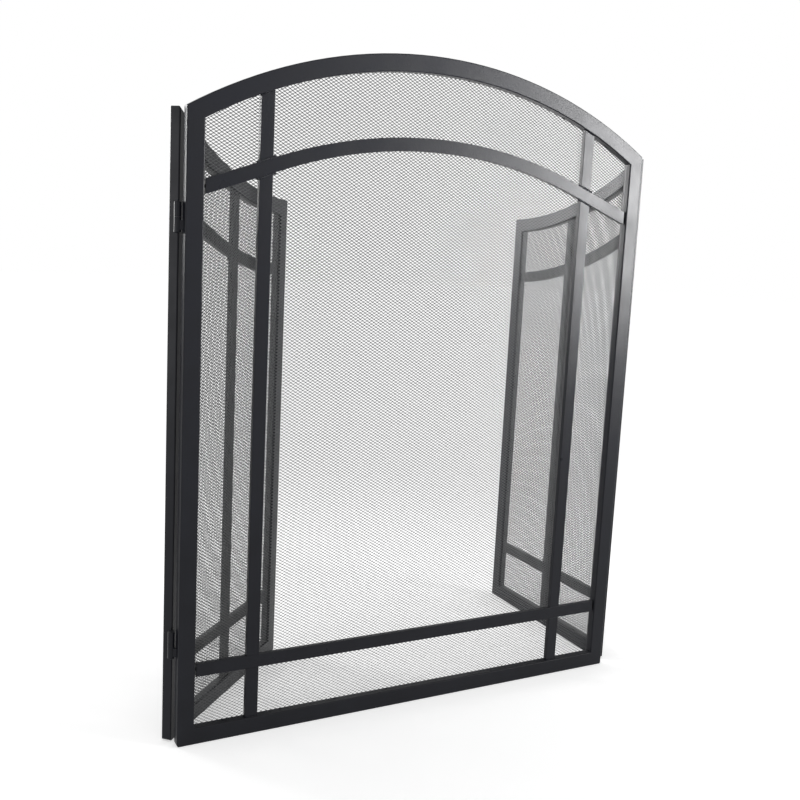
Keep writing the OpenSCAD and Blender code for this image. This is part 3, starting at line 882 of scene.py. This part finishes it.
# %% Lay the welds
# kind of weld: step between ripples, radius of the bead, first seed
WELDS = {
    "crossing_welds": (1.4 * MM, 1.95 * MM, 11),
    "rim_welds": (1.4 * MM, 1.2 * MM, 41),
    "end_tacks": (1.0 * MM, 1.55 * MM, 21),
    "mesh_spots": (1.2 * MM, 0.9 * MM, 31),
}


def line_mesh(name, lines):
    """A mesh of bare edges along some lines."""
    points = [point for line in lines for point in line]
    edges = []
    start = 0
    for line in lines:
        edges += [(start + i, start + i + 1) for i in range(len(line) - 1)]
        start += len(line)
    mesh = bpy.data.meshes.new(name)
    mesh.from_pydata(points, edges, [])
    return mesh


def lay_welds(number, side, name, lines, stands_for=None):
    """One piece with all the welds of a kind on a panel."""
    ripple, bead, seed = WELDS[name]
    mesh = grown(f"{side}_{name}", weld_tree, {
        "Ripple": ripple, "Bead": bead, "Seed": seed + number, "Paint": paints["weld_paint"],
    }, line_mesh(f"{side} {name} lines", lines))
    piece = link_piece(mesh.name, settle(mesh, side))
    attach(piece, bodies[side])
    if stands_for:
        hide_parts(stands_for)
    print(mesh.name, "has", triangles_in(mesh), "triangles")


for number, side in enumerate(openings):
    lay_welds(number, side, "crossing_welds", crossing_lines(side))
    lay_welds(number, side, "rim_welds", rim_lines(side))
    lay_welds(number, side, "end_tacks", tack_lines(side), f"{side}_bar_tacks")

# %% [markdown]
# The mesh is spot welded to the tubes round its edge, behind the bars, about every seven
# centimetres. Each spot is a small lump where a strand has melted into the tube.

# %% Spot-weld the mesh to the tubes
SPOT_STEP = 72 * MM
SPOT_HALF = 0.8 * MM


def spots_round(side):
    """Short lines at even steps round a panel's opening, just behind the mesh."""
    hole = openings[side]
    y = (mesh_front + mesh_back) / 2
    spots = []
    for edge in (hole["x0"], hole["x1"]):
        height = rim_height(side, edge) - hole["z0"]
        count = max(2, round(height / SPOT_STEP))
        for i in range(count):
            z = hole["z0"] + (i + 0.5) * height / count
            spots.append([(edge, y, z - SPOT_HALF), (edge, y, z + SPOT_HALF)])
    across = max(2, round((hole["x1"] - hole["x0"]) / SPOT_STEP))
    for i in range(across):
        x = hole["x0"] + (i + 0.5) * (hole["x1"] - hole["x0"]) / across
        for z in (hole["z0"], rim_height(side, x)):
            spots.append([(x - SPOT_HALF, y, z), (x + SPOT_HALF, y, z)])
    return spots


for number, side in enumerate(openings):
    lay_welds(number, side, "mesh_spots", spots_round(side))

# %% [markdown]
# The screen stands on a plain pale floor in a plain white room. Light Path tells the rays of the
# camera and of reflections from those that light things. To the first, the room is pure white and
# the floor gets a little lift up to white. To the second, the room is a soft light from all sides,
# so the floor keeps the screen's shadow.

# %% Lay the floor


def seen_directly(tree):
    """1 for the rays of the camera, of mirrors and of glass, and 0 for those that light things."""
    rays = add(tree, "ShaderNodeLightPath")
    mirrored = sums(tree, "MAXIMUM", rays.outputs["Is Glossy Ray"],
                    rays.outputs["Is Transmission Ray"])
    return sums(tree, "MAXIMUM", rays.outputs["Is Camera Ray"], mirrored)


floor_mesh = bpy.data.meshes.new("floor")
FLOOR_REACH = 14.0
floor_mesh.from_pydata(
    [(-FLOOR_REACH, -FLOOR_REACH, 0), (FLOOR_REACH, -FLOOR_REACH, 0),
     (FLOOR_REACH, FLOOR_REACH, 0), (-FLOOR_REACH, FLOOR_REACH, 0)], [], [(0, 1, 2, 3)])
floor = link_piece("floor", floor_mesh)
floor_paint = bpy.data.materials.new("floor")
floor_paint.use_nodes = True
floor_tree = floor_paint.node_tree
floor_tree.nodes.clear()
FLOOR_TONE = 0.93
FLOOR_LIFT = 0.42
floor_matte = add(floor_tree, "ShaderNodeBsdfDiffuse", {"Color": (FLOOR_TONE,) * 3 + (1,)})
floor_glow = add(floor_tree, "ShaderNodeEmission", {
    "Strength": sums(floor_tree, "MULTIPLY", seen_directly(floor_tree), FLOOR_LIFT)})
floor_both = add(floor_tree, "ShaderNodeAddShader", {0: floor_matte.outputs[0],
                                                     1: floor_glow.outputs[0]})
add(floor_tree, "ShaderNodeOutputMaterial", {"Surface": floor_both.outputs[0]})
floor_mesh.materials.append(floor_paint)
print("floor", 2 * FLOOR_REACH, "m across")

# %% [markdown]
# The room could be built from walls and a ceiling. A plain world is simpler, lights the screen as
# evenly, and never gets in the way of a lamp or of the camera.

# %% Whiten the world
world = bpy.data.worlds.new("pale room")
bpy.context.scene.world = world
world.use_nodes = True
world_tree = world.node_tree
world_tree.nodes.clear()
ROOM_LIGHT = 0.65
level = between(world_tree, seen_directly(world_tree), 0.0, 1.0, ROOM_LIGHT, 1.0)
sky = add(world_tree, "ShaderNodeBackground", {"Color": (1, 1, 1, 1), "Strength": level})
add(world_tree, "ShaderNodeOutputWorld", {"Surface": sky.outputs[0]})
print("the world lights at", ROOM_LIGHT, "and is seen at 1")

# %% [markdown]
# Four soft boxes do the rest. Black paint shows hardly any light of its own, so each box is placed
# where a set of faces mirrors it toward the camera. The key stands to the right in front: it gives
# the flat faces their long grey gradient, nearly black on the left and pale at the right shoulder.
# The one behind on the left draws a bright line down the upper edges that face it, the low one
# behind lifts the underside of the arch, and the last one catches the outer edge of the left wing.
# Their beams are narrow, which keeps most of their light off the floor.

# %% Place the lamps


def softbox(name, place, aim, width, height, watts, beam):
    """An area lamp of this size that points from its place at a spot, within a beam in degrees."""
    lamp = bpy.data.lights.new(name, "AREA")
    lamp.spread = math.radians(beam)
    lamp.shape = "RECTANGLE"
    lamp.size = width
    lamp.size_y = height
    lamp.energy = watts
    box = bpy.data.objects.new(name, lamp)
    bpy.context.scene.collection.objects.link(box)
    turn = (Vector(aim) - Vector(place)).to_track_quat("-Z", "Y").to_matrix()
    box.matrix_world = Matrix.Translation(place) @ turn.to_4x4()
    box.visible_camera = False


softbox("key", (1.63, -1.25, 1.03), (0.37, 0.0, 1.03), 0.7, 1.1, 12.0, 50)
softbox("back", (-0.95, 1.6, 1.05), (0.55, 0.0, 0.80), 0.9, 0.9, 8.0, 60)
softbox("low back", (0.55, 0.72, 0.12), (0.27, 0.0, 0.74), 0.5, 0.16, 0.35, 60)
softbox("left edge", (-2.4, -0.55, 0.60), (-0.33, 0.02, 0.50), 0.6, 1.2, 0.8, 60)
print("lamps:", ", ".join(sorted(lamp.name for lamp in bpy.data.lights)))
